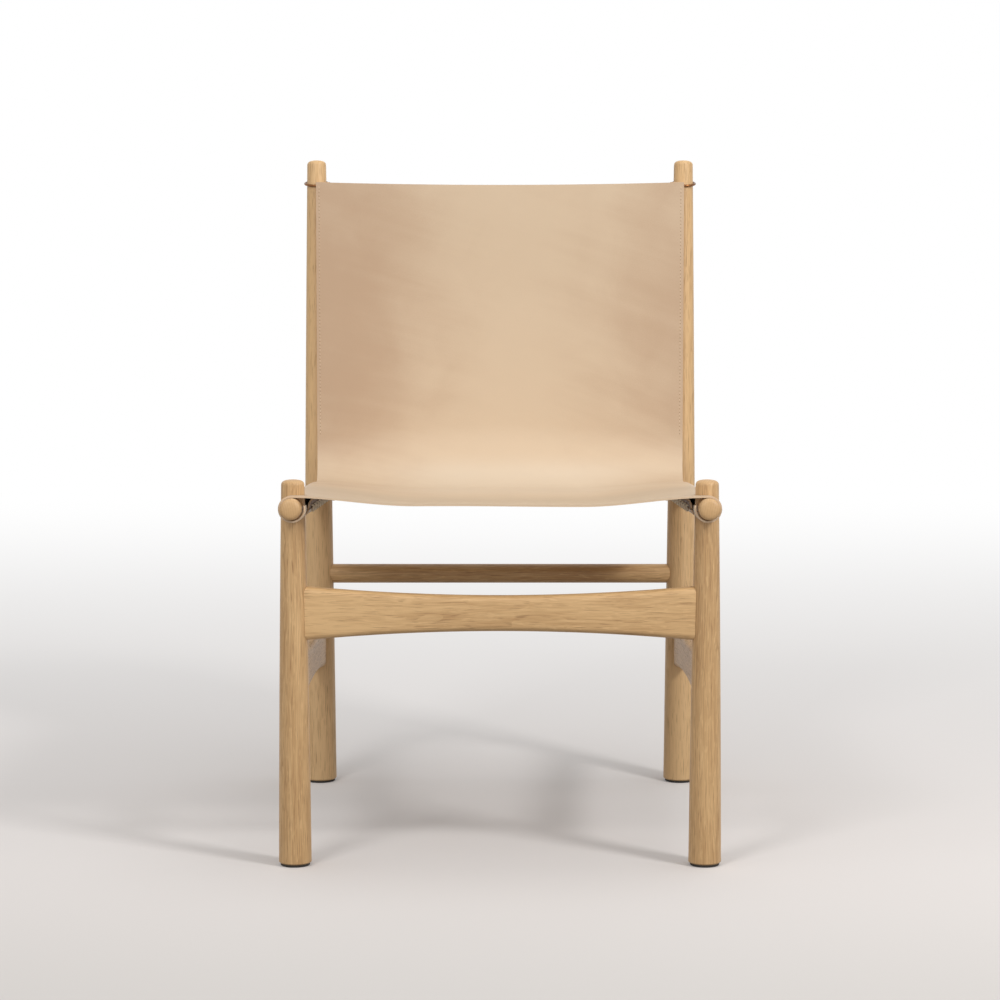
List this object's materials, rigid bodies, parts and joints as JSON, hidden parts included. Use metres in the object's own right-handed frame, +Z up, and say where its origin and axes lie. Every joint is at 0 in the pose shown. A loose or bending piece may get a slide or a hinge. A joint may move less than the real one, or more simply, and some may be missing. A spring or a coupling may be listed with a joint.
{
  "type": "sling lounge chair",
  "caption": "Low armless lounge chair: a turned oak frame with arched stretchers carries one natural leather sling, welted to the rear posts and laced under the seat rails.",
  "frame": {"origin": "on the floor, under the middle of the chair's own box", "axes": "+Z up, the chair faces -Y, +X to the right as seen from the front"},
  "size_m": [0.5106, 0.6636, 0.8012],
  "materials": {
    "oak": "light oak, matt oil",
    "sling_leather": "natural vegetable-tanned saddle leather, smooth, waxed cut edges",
    "strip_leather": "natural leather, flesh side showing",
    "welt_leather": "natural leather, folded and sewn",
    "lacing_cord": "waxed linen cord, twisted",
    "brass_ring": "polished",
    "glide": "matt, near black"
  },
  "bodies": {
    "root": {"lacing_strip_left": "strip_leather", "lacing_strip_right": "strip_leather", "lacing_cord_left": "lacing_cord", "lacing_cord_right": "lacing_cord", "edge_welt_left": "welt_leather", "edge_welt_right": "welt_leather", "front_glide_left": "glide", "front_glide_right": "glide", "rear_glide_left": "glide", "rear_glide_right": "glide", "top_ring_left": "brass_ring", "top_ring_right": "brass_ring", "front_leg_left": "oak", "front_leg_right": "oak", "rear_post_left": "oak", "rear_post_right": "oak", "seat_rail_left": "oak", "seat_rail_right": "oak", "rail_knob_left": "oak", "rail_knob_right": "oak", "side_stretcher_left": "oak", "side_stretcher_right": "oak", "front_stretcher": "oak", "rear_stretcher": "oak", "sling": "sling_leather"}
  },
  "joints": []
}
